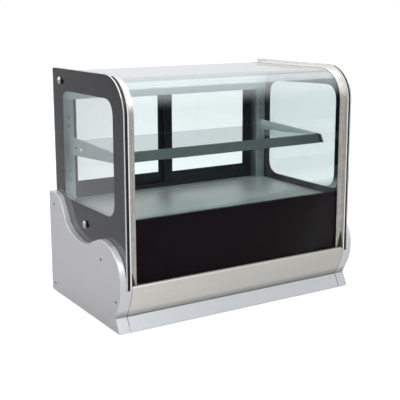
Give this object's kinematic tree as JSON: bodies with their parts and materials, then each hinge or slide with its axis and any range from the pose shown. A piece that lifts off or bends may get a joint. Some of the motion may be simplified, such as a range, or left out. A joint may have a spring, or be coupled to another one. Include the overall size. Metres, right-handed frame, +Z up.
{
  "type": "refrigerated counter-top display case",
  "caption": "Counter-top refrigerated display case with a bent front glass, glazed sides, a shelf, sliding rear doors and a machine base.",
  "frame": {"origin": "centre of the footprint, at the surface that the feet stand on", "axes": "+X to the right as seen from the front, +Y towards the doors at the back, +Z up"},
  "size_m": [0.9, 0.54, 0.775],
  "materials": {
    "glass": "clear float glass",
    "black_print": "black print and sealant behind glass",
    "stainless": "satin stainless sheet",
    "chrome": "polished",
    "silver": "satin silver paint",
    "pale_metal": "pale satin sheet",
    "galvanised": "galvanised sheet",
    "grey_metal": "satin grey",
    "dark_metal": "dark anodised",
    "aluminium": "plain fins",
    "dark_steel": "dark screw steel",
    "black_metal": "black enamel",
    "rubber": "matt",
    "lens": "opal diffuser",
    "dark_plastic": "fine texture",
    "grey_plastic": "fine texture",
    "pale_plastic": "moulded",
    "gloss_black": "gloss"
  },
  "bodies": {
    "case": {"base_pan": "galvanised", "foot_front_left": "rubber", "foot_front_right": "rubber", "foot_rear_left": "rubber", "foot_rear_right": "rubber", "kick_plate": "pale_metal", "front_panel": "stainless", "side_cover_left": "silver", "side_cover_right": "silver", "cover_screw_left_1": "dark_steel", "cover_screw_left_2": "dark_steel", "cover_screw_left_3": "dark_steel", "cover_screw_left_4": "dark_steel", "cover_screw_right_1": "dark_steel", "cover_screw_right_2": "dark_steel", "cover_screw_right_3": "dark_steel", "cover_screw_right_4": "dark_steel", "deck_plate": "stainless", "side_pane_outer_left": "glass", "side_pane_outer_right": "glass", "side_spacer_left": "black_print", "side_spacer_right": "black_print", "side_pane_inner_left": "glass", "side_pane_inner_right": "glass", "front_glass": "glass", "front_band": "black_print", "front_trim_left": "stainless", "front_trim_right": "stainless", "glass_knob_top_left": "chrome", "glass_knob_top_right": "chrome", "glass_knob_low_left": "chrome", "glass_knob_low_right": "chrome", "header_rail": "grey_metal", "lamp_lens": "lens", "rear_post_left": "grey_metal", "rear_post_right": "grey_metal", "rear_sill": "dark_metal", "shelf_glass": "glass", "shelf_front_rail": "dark_plastic", "shelf_bracket_left": "stainless", "shelf_bracket_right": "stainless", "rear_panel": "galvanised", "control_panel": "dark_plastic", "cord_gland": "dark_plastic", "compressor": "black_metal", "condenser": "aluminium", "evaporator_housing": "pale_plastic", "evaporator": "aluminium"},
    "door_left": {"door_frame_left": "dark_metal", "door_glass_left": "glass"},
    "door_right": {"door_frame_right": "dark_metal", "door_glass_right": "glass"},
    "lamp_rocker": {"lamp_switch": "gloss_black"},
    "power_rocker": {"power_switch": "gloss_black"},
    "set_key": {"set_button": "grey_plastic"},
    "up_key": {"up_button": "grey_plastic"},
    "down_key": {"down_button": "grey_plastic"},
    "condenser_rotor": {"condenser_fan": "dark_plastic"},
    "evaporator_rotor": {"evaporator_fan": "dark_plastic"},
    "tray": {"drain_tray": "pale_plastic"}
  },
  "joints": [
    {"name": "door_left_slide", "type": "slide", "parent": "case", "child": "door_left", "axis": [1, 0, 0], "range_m": [0, 0.356]},
    {"name": "door_right_slide", "type": "slide", "parent": "case", "child": "door_right", "axis": [-1, 0, 0], "range_m": [0, 0.356]},
    {"name": "lamp_switch_rock", "type": "hinge", "parent": "case", "child": "lamp_rocker", "pos_m": [0.19, 0.2615, 0.2525], "axis": [-1, 0, 0], "range_deg": [0, 16]},
    {"name": "power_switch_rock", "type": "hinge", "parent": "case", "child": "power_rocker", "pos_m": [0.215, 0.2615, 0.2525], "axis": [-1, 0, 0], "range_deg": [0, 16]},
    {"name": "set_button_press", "type": "slide", "parent": "case", "child": "set_key", "axis": [0, -1, 0], "range_m": [0, 0.0012], "stiffness_N_per_m": 200},
    {"name": "up_button_press", "type": "slide", "parent": "case", "child": "up_key", "axis": [0, -1, 0], "range_m": [0, 0.0012], "stiffness_N_per_m": 200},
    {"name": "down_button_press", "type": "slide", "parent": "case", "child": "down_key", "axis": [0, -1, 0], "range_m": [0, 0.0012], "stiffness_N_per_m": 200},
    {"name": "condenser_fan_spin", "type": "hinge", "parent": "case", "child": "condenser_rotor", "pos_m": [-0.225, 0.15, 0.112], "axis": [0, 1, 0], "continuous": true},
    {"name": "evaporator_fan_spin", "type": "hinge", "parent": "case", "child": "evaporator_rotor", "pos_m": [0.205, -0.02, 0.248], "axis": [0, 0, 1], "continuous": true},
    {"name": "drain_tray_slide", "type": "slide", "parent": "case", "child": "tray", "axis": [0, 1, 0], "range_m": [0, 0.18]}
  ]
}
